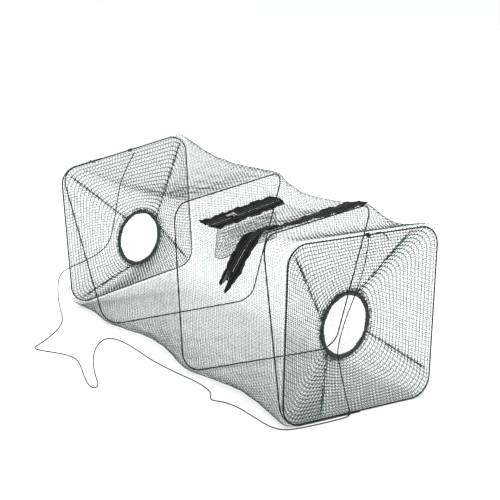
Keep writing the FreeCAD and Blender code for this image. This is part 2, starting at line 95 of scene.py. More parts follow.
def linear(code):
    """An sRGB hex colour as the linear values that a shader takes."""
    channels = [int(code[i:i + 2], 16) / 255 for i in (1, 3, 5)]
    return [c / 12.92 if c <= 0.04045 else ((c + 0.055) / 1.055) ** 2.4 for c in channels] + [1.0]


def add_node(material, kind, settings=None, **links):
    """One node, with its settings and what its inputs are linked to."""
    tree = material.node_tree
    node = tree.nodes.new(kind)
    for key, value in (settings or {}).items():
        if key in node.inputs:
            node.inputs[key].default_value = value
        else:
            setattr(node, key, value)
    for key, (source, output) in links.items():
        tree.links.new(source.outputs[output], node.inputs[key.replace("_", " ")])
    return node


def new_material(name, base, roughness, metallic=0.0, **constants):
    material = bpy.data.materials.new(name)
    material.use_nodes = True
    shader = material.node_tree.nodes["Principled BSDF"]
    shader.inputs["Base Color"].default_value = linear(base)
    shader.inputs["Roughness"].default_value = roughness
    shader.inputs["Metallic"].default_value = metallic
    for key, value in constants.items():
        shader.inputs[key.replace("_", " ")].default_value = value
    return material, shader


def mottle(material, shader, light, dark, grain, roughness, bump_grain, bump, coords=None):
    """Two close colours in patches, a roughness that varies with them, and a fine surface relief.
    The grains are real sizes in millimetres."""
    where = add_node(material, "ShaderNodeTexCoord")
    source = coords or (where, "Object")
    patches = add_node(material, "ShaderNodeTexNoise", {"Scale": 1000 / grain, "Detail": 4.0},
                       Vector=source)
    ramp = add_node(material, "ShaderNodeValToRGB", Fac=(patches, "Fac"))
    ramp.color_ramp.elements[0].position, ramp.color_ramp.elements[0].color = 0.35, linear(dark)
    ramp.color_ramp.elements[1].position, ramp.color_ramp.elements[1].color = 0.68, linear(light)
    spread = add_node(material, "ShaderNodeMapRange", {"To Min": roughness[0], "To Max": roughness[1]},
                      Value=(patches, "Fac"))
    fine = add_node(material, "ShaderNodeTexNoise", {"Scale": 1000 / bump_grain, "Detail": 2.0},
                    Vector=source)
    relief = add_node(material, "ShaderNodeBump", {"Strength": bump, "Distance": 0.0002},
                      Height=(fine, "Fac"))
    links = material.node_tree.links
    links.new(ramp.outputs["Color"], shader.inputs["Base Color"])
    links.new(spread.outputs["Result"], shader.inputs["Roughness"])
    links.new(relief.outputs["Normal"], shader.inputs["Normal"])
    return material


def dipped_spring_steel():
    """Carbon spring steel wire dipped in dark vinyl enamel: near black, a soft gloss, a faint orange peel."""
    material, shader = new_material("dipped_spring_steel", "#0a0d0c", 0.45, Specular_IOR_Level=0.25)
    return mottle(material, shader, "#0f1312", "#060808", 22, (0.4, 0.54), 1.6, 0.35)


def twisted_polyethylene():
    """Knotless polyethylene netting twine: dark green with black, a dull waxy sheen, and a fine twist."""
    material, shader = new_material("twisted_polyethylene", "#1f3a30", 0.58, Specular_IOR_Level=0.3)
    return mottle(material, shader, "#2f5244", "#172a23", 34, (0.45, 0.66), 0.5, 0.5)


def heavy_polyethylene():
    """The bait pocket's heavier netting: the same twine, thicker and blacker."""
    material, shader = new_material("heavy_polyethylene", "#151b19", 0.6, Sheen_Weight=0.15)
    return mottle(material, shader, "#252e2b", "#0f1413", 20, (0.5, 0.7), 0.5, 0.5)


def bonded_nylon_thread():
    """Black bonded nylon whipping thread: nearly black, with a low gloss from its bonding."""
    material, shader = new_material("bonded_nylon_thread", "#101513", 0.5, Sheen_Weight=0.2)
    return mottle(material, shader, "#1e2724", "#0a0d0c", 9, (0.4, 0.6), 0.35, 0.6)


def woven_zip_tape():
    """Woven polyester zip tape: black twill at 0.5 mm, drawn at 0.9 mm so that it shows, and a soft sheen."""
    material, shader = new_material("woven_zip_tape", "#0c0c0d", 0.85, Specular_IOR_Level=0.12)
    where = add_node(material, "ShaderNodeUVMap", {"uv_map": "UVMap"})
    turned = add_node(material, "ShaderNodeMapping", {"Rotation": (0, 0, math.radians(38))},
                      Vector=(where, "UV"))
    twill = add_node(material, "ShaderNodeTexWave", Vector=(turned, "Vector"), settings={
        "Scale": 1000 / (0.9 * 20 / 6.283) / 2, "Distortion": 0.6, "Detail": 1.0})
    ribs = add_node(material, "ShaderNodeValToRGB", Fac=(twill, "Fac"))
    ribs.color_ramp.elements[0].color = linear("#030303")
    ribs.color_ramp.elements[1].color = linear("#0d0d0e")
    dust = add_node(material, "ShaderNodeTexNoise", {"Scale": 60.0, "Detail": 5.0}, Vector=(where, "UV"))
    faded = add_node(material, "ShaderNodeMixRGB", {"blend_type": "MULTIPLY", "Fac": 0.5},
                     Color1=(ribs, "Color"), Color2=(dust, "Color"))
    relief = add_node(material, "ShaderNodeBump", {"Strength": 0.6, "Distance": 0.0003},
                      Height=(twill, "Fac"))
    wear = add_node(material, "ShaderNodeMapRange", {"To Min": 0.78, "To Max": 0.95}, Value=(dust, "Fac"))
    links = material.node_tree.links
    links.new(faded.outputs["Color"], shader.inputs["Base Color"])
    links.new(wear.outputs["Result"], shader.inputs["Roughness"])
    links.new(relief.outputs["Normal"], shader.inputs["Normal"])
    return material


def nylon_coil():
    """Coiled nylon zip teeth: black monofilament with a small hard gloss."""
    material, shader = new_material("nylon_coil", "#0b0b0b", 0.5, Specular_IOR_Level=0.25)
    return mottle(material, shader, "#111112", "#060606", 6, (0.42, 0.58), 0.6, 0.3)


def nickel_plated_zinc():
    """Die-cast zinc with bright nickel plating: silver, with fine tumbling marks and duller patches."""
    material, shader = new_material("nickel_plated_zinc", "#a8a9a9", 0.24, 1.0)
    return mottle(material, shader, "#b9b9b8", "#868788", 5, (0.18, 0.34), 0.5, 0.25)


def black_enamelled_zinc():
    """Die-cast zinc with black enamel: satin, worn a little greyer in patches."""
    material, shader = new_material("black_enamelled_zinc", "#101112", 0.42, Specular_IOR_Level=0.4)
    return mottle(material, shader, "#191a1c", "#0a0b0b", 5, (0.34, 0.52), 0.5, 0.3)


def braided_cord():
    """A thin braided polyethylene haul cord: dark green-black, with plaited strands along its own length."""
    material, shader = new_material("braided_cord", "#141a17", 0.66, Specular_IOR_Level=0.3)
    return mottle(material, shader, "#1d2522", "#0c100e", 12, (0.56, 0.76), 0.6, 0.8)


WIRE_COAT, NET, POCKET_NET = dipped_spring_steel(), twisted_polyethylene(), heavy_polyethylene()
THREAD, TAPE, COIL, CORD = bonded_nylon_thread(), woven_zip_tape(), nylon_coil(), braided_cord()
METAL, BLACK_METAL = nickel_plated_zinc(), black_enamelled_zinc()


def fold_flat(piece):
    """The trap folds lengthways; this hangs a piece on the root body, with a mesh of its own."""
    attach(piece, "root")
    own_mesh(piece)


def mesh_piece(name, points, faces, material):
    mesh = bpy.data.meshes.new(name)
    mesh.from_pydata([tuple(p) for p in points], [], faces)
    mesh.update()
    piece = bpy.data.objects.new(name, mesh)
    scene.collection.objects.link(piece)
    mesh.materials.append(material)
    return piece


def apply_modifiers(piece):
    bpy.ops.object.select_all(action="DESELECT")
    piece.select_set(True)
    bpy.context.view_layer.objects.active = piece
    for modifier in list(piece.modifiers):
        bpy.ops.object.modifier_apply(modifier=modifier.name)
    piece.select_set(False)
    return piece


def smooth(piece, angle=40):
    bpy.ops.object.select_all(action="DESELECT")
    piece.select_set(True)
    bpy.context.view_layer.objects.active = piece
    bpy.ops.object.shade_smooth_by_angle(angle=math.radians(angle))
    piece.select_set(False)
    return piece


def line_curve(name, points, thickness, sides, order=3, cyclic=False, smoothness=6):
    """A smooth curve through given points in metres, as thick as its thread or cord."""
    data = bpy.data.curves.new(name, "CURVE")
    data.dimensions = "3D"
    spline = data.splines.new("NURBS")
    spline.points.add(len(points) - 1)
    for slot, point in zip(spline.points, points):
        slot.co = (*point, 1)
    spline.order_u = order
    spline.use_endpoint_u = not cyclic
    spline.use_cyclic_u = cyclic
    spline.resolution_u = smoothness
    data.bevel_depth = thickness / 2
    data.bevel_resolution = sides
    data.use_fill_caps = True
    curve = bpy.data.objects.new(name, data)
    scene.collection.objects.link(curve)
    return curve


def curve_line(curve):
    """The points that a curve follows, with no thickness."""
    bare = bpy.data.objects.new("bare_line", curve.data.copy())
    bare.data.bevel_depth = 0
    mesh = bpy.data.meshes.new_from_object(bare)
    line = [tuple(v.co) for v in mesh.vertices]
    bpy.data.meshes.remove(mesh)
    bpy.data.curves.remove(bare.data)
    return line


def curve_to_mesh(curves, name, material):
    """Turns curves into one mesh piece."""
    bpy.ops.object.select_all(action="DESELECT")
    for curve in curves:
        curve.select_set(True)
    bpy.context.view_layer.objects.active = curves[0]
    bpy.ops.object.convert(target="MESH")
    if len(curves) > 1:
        bpy.ops.object.join()
    piece = bpy.context.view_layer.objects.active
    piece.name = piece.data.name = name
    piece.data.materials.clear()
    piece.data.materials.append(material)
    for polygon in piece.data.polygons:
        polygon.use_smooth = True
    piece.select_set(False)
    return piece


# ---- haul cord: limp, 1.5 mm thick, from the far loop's knot down to the ground and back up to the near one

HAUL_ROUTE = [
    (-304.3, 10, 238), (-306.2, 6, 229), (-306.4, -4, 212), (-306.6, -15, 188), (-306.6, -22, 150),
    (-306.8, -28, 108), (-306.8, -42, 84), (-306.6, -76, 69), (-306.0, -108, 62), (-303.5, -127, 52),
    (-293, -134, 24), (-276, -138, 4.5), (-252, -146, 0.9), (-226, -160, 1.1), (-196, -182, 0.9),
    (-168, -212, 1.1), (-148, -236, 0.9), (-138, -250, 1.1), (-124, -247, 0.9), (-108, -236, 1.1),
    (-88, -222, 0.9), (-64, -218, 1.1), (-36, -226, 0.9), (0, -240, 1.1), (26, -249, 0.9),
    (46.2, -254, 1.1), (53.6, -252, 0.9), (51, -245, 1.1), (40, -239, 0.9), (20, -231, 1.1),
    (-14, -217, 0.9), (-56, -196, 1.1), (-88, -176, 0.9), (-112, -156, 1.1), (-124, -140, 0.9),
    (-118, -129, 1.1), (-98, -124, 0.9), (-60, -124.5, 1.1), (-8, -129, 0.9), (48, -127, 1.1),
    (96, -121, 0.9), (128, -122, 1.1), (150, -128, 0.9), (164, -139, 1.1), (174, -140, 0.9),
    (181, -132, 1.1),
    (206, -125, 1.1), (240, -126, 0.9), (272, -128, 1.1), (294, -126, 0.9), (305, -118, 1.1),
    (309, -100, 0.9), (310.5, -68, 1.1), (310, -38, 0.9), (310.5, -23, 1.5), (307.5, -17, 5.5),
    (301, -15, 8.5), (294, -14, 19), (286.5, -14, 36), (279, -15, 57), (269.5, -13, 73),
    (268, -9, 90), (273, -5, 118), (283, 0, 150), (292, 5, 184), (299, 5, 212), (302.4, 3, 230),
]
CORD_THICK = 1.5 * MM
haul_curve = line_curve("haul_cord_line", [tuple(v * MM for v in p) for p in HAUL_ROUTE], CORD_THICK, 2)
haul_line = curve_line(haul_curve)
haul_cord = curve_to_mesh([haul_curve], "haul_cord_braid", CORD)
fold_flat(haul_cord)
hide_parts("haul_cord")


# ---- the trap's square section, which twists towards the far end. Millimetres.

LENGTH, WIDTH, HEIGHT, WIRE, BEND = 600.0, 240.0, 234.0, 2.0, 28.0
NET_BEND, NET_LIFT, NET_EDGE, BASE = 21.0, 3.2, 2.5, 1.7
TURNS = {"front_bottom": [0.197, 0.604], "back_bottom": [0.292, 0.656],
         "back_top": [0.434, 0.777], "front_top": [0.559, 0.911]}
EDGES = ["front_bottom", "back_bottom", "back_top", "front_top"]
WALLS = ["bottom", "back", "top", "front"]
DRAWS = {"front": 2.3e-4, "back": 1.5e-4, "bottom": 1.2e-4}
ROOF_DRAW, ROOF_SAG = (1.0e-4, 0.0, 6.5e-4), (1.0e-4, 0.0, 3.5e-4)
BAIT_FRONT, BAIT_BACK, BAIT_TILT = np.array([107, -112, 219.0]), np.array([24, 66, 221.0]), math.radians(16)
ZIP_REACH, ZIP_SAG = 12.5, (20.5, 29.0)


def section(x):
    """Centre height, half width, half height, across and up directions at a place along the trap."""
    ease = (0.5 - x / LENGTH) ** 2
    roll, lean = math.radians(11) * ease, math.radians(5) * ease
    half_w, half_h = WIDTH / 2 * (1 - 0.05 * ease), HEIGHT / 2 * (1 - 0.05 * ease)
    across = np.array([0, math.cos(roll), math.sin(roll)])
    up = np.array([0, -math.sin(lean), math.cos(lean)])
    settle = BEND * (math.sin(roll) + math.cos(lean) - 1) * 0.5
    centre = BASE + half_w * math.sin(roll) + half_h * math.cos(lean) - settle
    return centre, half_w, half_h, across, up


def bays(wall, share):
    first, second = EDGES[WALLS.index(wall)], EDGES[(WALLS.index(wall) + 1) % 4]
    limit = LENGTH / 2 - NET_EDGE
    starts = [(turn - 0.5) * LENGTH for turn in TURNS[first]]
    ends = [(turn - 0.5) * LENGTH for turn in TURNS[second]]
    if wall == "front":
        starts.insert(0, -limit + NET_EDGE)
        ends.append(limit - NET_EDGE)
    return [-limit] + [a + (b - a) * share for a, b in zip(starts, ends)] + [limit]


def find_bay(wall, share, x):
    lines = bays(wall, share)
    for bay in range(len(lines) - 1):
        span = lines[bay + 1] - lines[bay]
        if span > 0.01 and x <= lines[bay + 1] + 0.01:
            return bay, min(1.0, max(0.0, (x - lines[bay]) / span)), span
    return 0, 0.0, 1.0


def draw(wall, share, x):
    """How far the netting is drawn in between the wires that cross a wall."""
    bay, place, span = find_bay(wall, share, x)
    arch, middle = math.sin(math.pi * place) ** 1.3, 4 * share * (1 - share)
    if wall in ("front", "back"):
        return DRAWS[wall] * span ** 2 * arch
    if wall == "bottom":
        return DRAWS[wall] * span ** 2 * arch * (1 - middle)
    if bay != 1:
        return (ROOF_DRAW[min(bay, 2)] + ROOF_SAG[min(bay, 2)] * middle) * span ** 2 * arch
    return zip_valley(share, place, span)


def zip_valley(share, place, span):
    """The roof's middle bay hangs in a valley along the bait zip, which crosses it."""
    y = WIDTH * (0.5 - share)
    along = (y - BAIT_FRONT[1]) / (BAIT_BACK[1] - BAIT_FRONT[1])
    zip_x = BAIT_FRONT[0] + (BAIT_BACK[0] - BAIT_FRONT[0]) * along
    wire_x = bays("top", share)[1]
    upper, lower = (zip_x - ZIP_REACH - wire_x) / span, (zip_x + ZIP_REACH - wire_x) / span
    if place < upper:
        depth = ZIP_SAG[0] * math.sin(math.pi / 2 * place / upper)
    elif place < lower:
        depth = ZIP_SAG[0] + (ZIP_SAG[1] - ZIP_SAG[0]) * (place - upper) / (lower - upper)
    else:
        depth = ZIP_SAG[1] * math.cos(math.pi / 2 * (place - lower) / (1 - lower))
    beyond = min(1.0, max(0.0, (0.18 - share) / 0.18))
    return depth * (1 - 0.65 * beyond)


def net_point(wall, side, x):
    """A point of the net tube: side runs from -1 to 1 across a wall, half of each bend included."""
    centre, half_w, half_h, across, up = section(x)
    level = wall in ("bottom", "top")
    half, out = (half_w, half_h) if level else (half_h, half_w)
    flat, arc = half - NET_BEND, NET_BEND * math.pi / 4
    run, way = abs(side) * (flat + arc), 1 if side >= 0 else -1
    turn = max(0.0, run - flat) / NET_BEND
    u = min(run, flat) + NET_BEND * math.sin(turn)
    n = out - NET_BEND * (1 - math.cos(turn))
    share = (way * u + half) / (2 * half)
    inward = draw(wall, share, x)
    step = WALLS.index(wall)
    neighbour = WALLS[(step + way) % 4]
    pull = 0.6 + 0.4 * turn / (math.pi / 4) if run > flat else 0.6 * (run / flat) ** 1.9
    aside = pull * draw(neighbour, max(0.9, share) if way < 0 else min(0.1, 1 - share), x) \
        if way > 0 else pull * draw(neighbour, 1 - min(0.1, share), x)
    u += math.sin(turn) * NET_LIFT - aside
    n += math.cos(turn) * NET_LIFT - inward
    ahead, outward = {"bottom": (across, -up), "back": (up, across),
                      "top": (-across, up), "front": (-up, -across)}[wall]
    point = np.array([x, 0.0, centre]) + ahead * (way * u) + outward * n
    point[2] = max(0.35, point[2])
    return point


# ---- knotless netting: a real lattice of hexagonal cells

TWINE, FUNNEL_TWINE, POCKET_TWINE = 0.36, 0.7, 0.36
COLUMNS = 84              # half cells across one wall


def lattice(rows, columns, place, shown=None, cyclic=False):
    """A honeycomb lattice. place(row, column) gives a strand joint, both in half-cell steps."""
    index, points, faces = {}, [], []

    def joint(i, j):
        j_at = j % columns if cyclic else j
        if (i, j_at) not in index:
            zig = 0.17 if (i + j) % 2 else -0.17
            index[(i, j_at)] = len(points)
            points.append(np.array(place(min(max(i + zig, 0.0), rows), j_at)) * MM)
        return index[(i, j_at)]

    for i in range(rows):
        for j in range(i % 2, columns - (0 if cyclic else 1), 2):
            if not cyclic and j + 2 > columns:
                continue
            if shown is None or shown(i, j + 1):
                faces.append([joint(i, j), joint(i, j + 1), joint(i, j + 2),
                              joint(i + 1, j + 2), joint(i + 1, j + 1), joint(i + 1, j)])
    return points, faces


def strands(name, starts, ends, radii, material):
    """Closed three-sided strands between pairs of points, in metres."""
    starts, ends = np.array(starts, float), np.array(ends, float)
    way = ends - starts
    way /= np.linalg.norm(way, axis=1)[:, None]
    guide = np.where(np.abs(way[:, [2]]) > 0.9, [[1.0, 0, 0]], [[0, 0, 1.0]])
    first = np.cross(way, guide)
    first /= np.linalg.norm(first, axis=1)[:, None]
    second = np.cross(way, first)
    radii = np.broadcast_to(np.array(radii, float).reshape(-1, 1), (len(way), 1))
    rings = []
    for end, sign in ((starts, -1), (ends, 1)):
        for corner in range(3):
            turn = corner * 2 * math.pi / 3
            spoke = first * math.cos(turn) + second * math.sin(turn)
            rings.append(end + way * radii * (0.4 * sign) + spoke * radii)
    points = np.stack(rings, axis=1).reshape(-1, 3)
    faces = []
    for k in range(0, len(points), 6):
        faces += [(k, k + 2, k + 1), (k + 3, k + 4, k + 5), (k, k + 1, k + 4, k + 3),
                  (k + 1, k + 2, k + 5, k + 4), (k + 2, k, k + 3, k + 5)]
    piece = mesh_piece(name, points, faces, material)
    for polygon in piece.data.polygons:
        polygon.use_smooth = True
    return piece


def netting(name, points, faces, twine, material):
    """Strands of twine along every edge of the lattice. The joints between rows are doubled, so thicker."""
    edges = {}
    for face in faces:
        for k in range(6):
            pair = tuple(sorted((face[k], face[(k + 1) % 6])))
            edges[pair] = 1.3 if k in (2, 5) else 1.0
    points = np.array(points)
    pairs = np.array(list(edges))
    apart = np.linalg.norm(points[pairs[:, 0]] - points[pairs[:, 1]], axis=1) > 2e-5
    radii = np.array(list(edges.values())) * twine * MM / 2
    return strands(name, points[pairs[apart, 0]], points[pairs[apart, 1]], radii[apart], material)


rng = np.random.default_rng(7)
WRINKLES = [(rng.uniform(25, 70), rng.uniform(0, math.pi), rng.uniform(0, 6.28), rng.uniform(0.25, 0.6))
            for _ in range(9)]


def wrinkle(a, b):
    """Slight unevenness of slack netting, in millimetres."""
    return sum(size * math.sin((a * math.cos(way) + b * math.sin(way)) * 6.283 / pitch + start)
               for pitch, way, start, size in WRINKLES)


NET_ROWS = 128
NET_START, NET_END = -LENGTH / 2 + NET_EDGE, LENGTH / 2 - NET_EDGE


def tube_joint(row, column):
    wall = WALLS[int(column // COLUMNS) % 4]
    share = (column % COLUMNS) / COLUMNS
    bunch = {"front": 1, "bottom": -1}.get(wall, 0) * 0.42 * share * (1 - share)
    side = (share + bunch) * 2 - 1
    x = NET_START + (NET_END - NET_START) * row / NET_ROWS
    point = net_point(wall, side, x)
    ease = math.sin(math.pi * row / NET_ROWS) ** 0.5
    centre = section(x)[0]
    spoke = np.array([0, point[1], point[2] - centre])
    spoke /= np.linalg.norm(spoke)
    point = point + spoke * (wrinkle(x, column * 2.5) * 0.5 - 0.6) * ease
    point[2] = max(0.35, point[2])
    return point


for number, wall in enumerate(WALLS):
    start = number * COLUMNS

    def in_wall(i, j, start=start):
        return start <= j % (4 * COLUMNS) < start + COLUMNS

    points, faces = lattice(NET_ROWS, 4 * COLUMNS, tube_joint, in_wall, cyclic=True)
    wall_piece = netting("wall_netting_" + wall, points, faces, TWINE, NET)
    fold_flat(wall_piece)
    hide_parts("body_net_" + wall)


# ---- funnels: netting drawn from each end loop to its ring, with the spare netting pleated at four creases

def loop_point(plane, run, inset=WIRE / 2 + 0.3):
    """A point on an end loop, at a share of the way round from the bottom wall's middle."""
    centre, half_w, half_h, across, up = section(plane)
    half_w, half_h, bend = half_w - inset, half_h - inset, BEND - inset
    walls = [(half_w, half_h), (half_h, half_w), (half_w, half_h), (half_h, half_w)]
    lengths = [2 * (half - bend) + bend * math.pi / 2 for half, _ in walls]
    total = sum(lengths)
    run = (run * total + lengths[0] / 2) % total
    for number, (half, out) in enumerate(walls):
        if run <= lengths[number]:
            break
        run -= lengths[number]
    run -= lengths[number] / 2
    turn = max(0.0, abs(run) - (half - bend)) / bend
    u = math.copysign(min(abs(run), half - bend) + bend * math.sin(turn), run)
    n = out - bend * (1 - math.cos(turn))
    ahead, outward = [(across, -up), (up, across), (-across, up), (-up, -across)][number]
    return np.array([plane, 0.0, centre]) + ahead * u + outward * n


RINGS = {1: {"depth": 33, "height": 109, "yaw": 8}, -1: {"depth": 31, "height": 107, "yaw": 12}}
RING_RADIUS = 42.0


def ring_point(step, angle, reach, out=0.0):
    """A point round a ring. Angle 0 is at the bottom, and the back comes next."""
    ring = RINGS[step]
    yaw = math.radians(ring["yaw"])
    along = np.array([-math.sin(yaw), math.cos(yaw), 0])
    face = np.array([math.cos(yaw), math.sin(yaw), 0])
    centre = np.array([step * (LENGTH / 2 - ring["depth"]), 0, ring["height"]])
    drop = np.array([0, 0, -reach * math.cos(angle)])
    return centre + along * (reach * math.sin(angle)) + drop + face * out


# Where each crease meets the loop, as a share of the way round from the bottom wall's middle, and the ring
CREASES = {
    1: [(0.158, 68), (0.411, 153), (0.625, 253), (0.935, 315)],
    -1: [(0.125, 107), (0.375, 126), (0.625, 218), (0.875, 345)],
}
FUNNEL_ROWS = 19
GATHER_WIDTH = 6.0          # of a crease's gathers at the ring
SEAM_CLOTH = 10.0           # spare netting left beside a crease, where the panels are joined


def funnel_joint(step):
    plane = step * (LENGTH / 2 - NET_EDGE)
    creases = CREASES[step]
    around = math.pi * 2 * RING_RADIUS
    perimeter = 900.0

    def lay(row, column):
        """Which panel, how far across its cloth, and how much of the cloth is spare at this depth."""
        depth = row / FUNNEL_ROWS
        run = column / (4 * COLUMNS)
        k = max(i for i in range(-1, 4) if run >= (creases[i][0] - (1 if i < 0 else 0)))
        start, start_angle = creases[k % 4]
        end, end_angle = creases[(k + 1) % 4]
        if k < 0:
            start, start_angle = start - 1, start_angle - 360
        if k == 3:
            end, end_angle = end + 1, end_angle + 360
        cloth = (end - start) * perimeter
        throat = (end_angle - start_angle) / 360 * around
        width = cloth + (throat - cloth) * depth
        band = min(width / 3, 0.8 + GATHER_WIDTH * depth ** 0.8)
        spare = max(1e-6, (cloth - width) / 2 + band)
        here = (run - start) * perimeter
        return depth, run, (start, start_angle, end, end_angle), here, cloth, width, band, spare

    def shown(row, column):
        _, _, _, here, cloth, _, _, spare = lay(row, column)
        return min(here, cloth - here) > spare - SEAM_CLOTH

    def place(row, column):
        depth, run, ends, here, cloth, width, band, spare = lay(row, column)
        start, start_angle, end, end_angle = ends
        gather = 0.0
        if here < spare:
            kept = max(0.0, 1 - (spare - here) / min(spare, SEAM_CLOTH))
            gather, here = 1 - kept, band * kept ** 1.5
        elif here > cloth - spare:
            kept = max(0.0, 1 - (spare - cloth + here) / min(spare, SEAM_CLOTH))
            gather, here = 1 - kept, width - band * kept ** 1.5
        else:
            here += band - spare
        across = min(1.0, max(0.0, here / width))
        outer = loop_point(plane, start + (end - start) * across)
        angle = math.radians(start_angle + (end_angle - start_angle) * across)
        inner = ring_point(step, angle, RING_RADIUS + 1.9)
        point = outer + (inner - outer) * depth
        slack = math.sin(math.pi * depth) * (4 * across * (1 - across))
        ruffle = math.sin(run * perimeter * 2 * math.pi / 15) * 2.4 + math.sin(run * perimeter * 0.9) * 1.2
        point[0] -= step * (2.6 * slack + ruffle * gather * min(1, 3 * depth) * (1 - 0.6 * depth))
        point[0] -= step * 0.4 * wrinkle(run * 900, depth * 80) * slack
        point[2] -= 2.0 * slack
        return point

    return place, shown


for name, step in (("far", -1), ("near", 1)):
    points, faces = lattice(FUNNEL_ROWS, 4 * COLUMNS, *funnel_joint(step), cyclic=True)
    funnel = netting(name + "_funnel_netting", points, faces, FUNNEL_TWINE, NET)
    fold_flat(funnel)
    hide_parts(name + "_funnel_net")


# ---- wire loops keep their CAD shape; the turns between them are a copy of the CAD turns, hung on the root body

for name in ("far_end_loop", "near_end_loop", "far_funnel_ring", "near_funnel_ring"):
    nodes[name].data.materials.clear()
    nodes[name].data.materials.append(WIRE_COAT)


def copy_of_node(node, name, material):
    """A node's own shape as a new piece, with its loose triangles merged."""
    mesh = nodes[node].data.copy()
    mesh.name = name
    piece = bpy.data.objects.new(name, mesh)
    scene.collection.objects.link(piece)
    mesh.materials.clear()
    mesh.materials.append(material)
    bpy.ops.object.select_all(action="DESELECT")
    piece.select_set(True)
    bpy.context.view_layer.objects.active = piece
    bpy.ops.object.mode_set(mode="EDIT")
    bpy.ops.mesh.select_all(action="SELECT")
    bpy.ops.mesh.remove_doubles(threshold=1e-6)
    bpy.ops.object.mode_set(mode="OBJECT")
    return smooth(piece)


spring = copy_of_node("spring_turns", "spring_wire_turns", WIRE_COAT)
fold_flat(spring)
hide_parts("spring_turns")


def stand_for(piece, node, body=None):
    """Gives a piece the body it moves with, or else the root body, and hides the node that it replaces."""
    if body:
        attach(piece, body)
    else:
        fold_flat(piece)
    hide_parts(node)


# ---- ring bindings, lap ties and loop lacing: thread wound round the wires

def thread_piece(name, points, thickness, sides=1, cyclic=False, material=None):
    """Thread, cord or coil through points in millimetres."""
    curve = line_curve(name + "_line", [tuple(np.array(p) * MM) for p in points], thickness * MM, sides,
                       cyclic=cyclic, smoothness=2)
    return curve_to_mesh([curve], name, material or THREAD)


RING_TURNS, TURN_STEPS = 170, 7    # turns of thread round a ring, and points in a turn
BINDING_REACH, BINDING_THREAD, HEM_REACH = 2.55, 1.25, 1.5
FRILLS = 700                # loose ends and loops of the gathered hem round a ring
for name, step in (("far", -1), ("near", 1)):
    wound = []
    for k in range(RING_TURNS * TURN_STEPS):
        angle = k / (RING_TURNS * TURN_STEPS) * 2 * math.pi
        turn = k / TURN_STEPS * 2 * math.pi
        reach = BINDING_REACH + 0.35 * math.sin(angle * 9 + step) + rng.uniform(-0.35, 0.35)
        wound.append(ring_point(step, angle, RING_RADIUS + reach * math.cos(turn), reach * math.sin(turn)))
    stand_for(thread_piece(name + "_ring_binding", wound, BINDING_THREAD, cyclic=True),
              name + "_ring_lashing", name + "_ring")
    starts, ends = [], []
    for angle in rng.uniform(0, 2 * math.pi, FRILLS):
        near_crease = min(abs((math.degrees(angle) - at + 180) % 360 - 180) for _, at in CREASES[step])
        reach = rng.uniform(2.5, 5) + rng.uniform(0, 9) * math.exp(-near_crease / 16)
        root = ring_point(step, angle, RING_RADIUS + HEM_REACH, rng.uniform(-2.5, 2.5))
        starts.append(root * MM)
        tip = ring_point(step, angle + rng.uniform(-0.1, 0.1), RING_RADIUS + HEM_REACH + reach,
                         rng.uniform(-3.5, 3.5))
        ends.append(tip * MM)
    stand_for(strands(name + "_ring_frill", starts, ends, 0.0002, NET), name + "_ring_lashing",
              name + "_ring")

LACE_TURNS, LACE_STEPS = 148, 6    # turns of lacing round an end loop, and points in a turn
for name, step, body in (("far", -1, "root"), ("near", 1, "near_end")):
    plane = step * LENGTH / 2
    laced = []
    for k in range(LACE_TURNS * LACE_STEPS):
        run = k / (LACE_TURNS * LACE_STEPS)
        turn = k / LACE_STEPS * 2 * math.pi
        point = loop_point(plane, run, -1.35 * math.cos(turn))
        point[0] += step * (2.3 * math.sin(turn) - 1.0)
        laced.append(point)
    stand_for(thread_piece(name + "_wire_lacing", laced, 0.5, cyclic=True), name + "_loop_lacing",
              body)


def whipping(node, name, body):
    """Thread whipped round two wires that lie side by side, over the length of the tie."""
    spots = np.array([nodes[node].matrix_world @ v.co for v in nodes[node].data.vertices]) / MM
    order = np.argsort(spots[:, 1])
    few = max(4, len(order) // 10)
    start, end = spots[order[:few]].mean(axis=0), spots[order[-few:]].mean(axis=0)
    half_x = np.ptp(spots[:, 0]) / 2 - 0.2
    half_z = max(1.3, np.ptp(spots[:, 2]) / 2 - abs(end[2] - start[2]) / 2 - 0.2)
    turns = max(5, int(abs(end[1] - start[1]) / 0.8))
    wound = []
    for k in range(turns * 8):
        angle = k / 8 * 2 * math.pi
        wound.append(start + (end - start) * k / (turns * 8)
                     + np.array([half_x * math.cos(angle), 0, half_z * math.sin(angle)]))
    stand_for(thread_piece(name, wound, 0.7), node, body)


whipping("far_lap_tie", "far_lap_whipping", "root")
whipping("near_lap_tie", "near_lap_whipping", "near_end")


# ---- cord knots: two round turns on the wire and a hitch over the standing part

KNOT_REACH = 1.85           # from the wire's centre to the cord's, in a round turn
NEAR_TAIL = [(305, 6.2, 236), (307, 14, 239.5), (308, 24, 237.5), (308, 32, 227)]
for name, step, y, body in (("far", -1, 10.0, "root"), ("near", 1, 3.0, "near_end")):
    plane = step * LENGTH / 2
    centre, half_w, half_h, across, up = section(plane)
    wire_at = np.array([plane, 0, centre]) + across * (y / across[1]) + up * half_h
    knot = []
    for k in range(21):
        angle = math.radians(150 - 45 * k * step)
        spoke = np.array([math.cos(angle), 0, math.sin(angle)])
        knot.append(wire_at + across * (2.6 - 0.26 * k) + spoke * KNOT_REACH)
    hitch = [(2.4, -1.6, -2.6), (4.3, -2.2, -1.4), (4.6, 0.4, 0.6), (3.6, 2.6, 1.0), (2.2, 2.2, -1.6),
             (3.0, -0.6, -3.2), (4.6, -1.2, -2.0), (4.4, 1.6, 0.2)]
    knot += [wire_at + np.array([step * a, b, c]) for a, b, c in hitch]
    if step > 0:
        knot += [np.array(p) for p in NEAR_TAIL]
    stand_for(thread_piece(name + "_hitch_knot", knot, 1.5, sides=2, material=CORD), name + "_cord_knot",
              body)


# ---- zips: woven tapes that pucker along their sewn edges, coiled nylon teeth, plated sliders

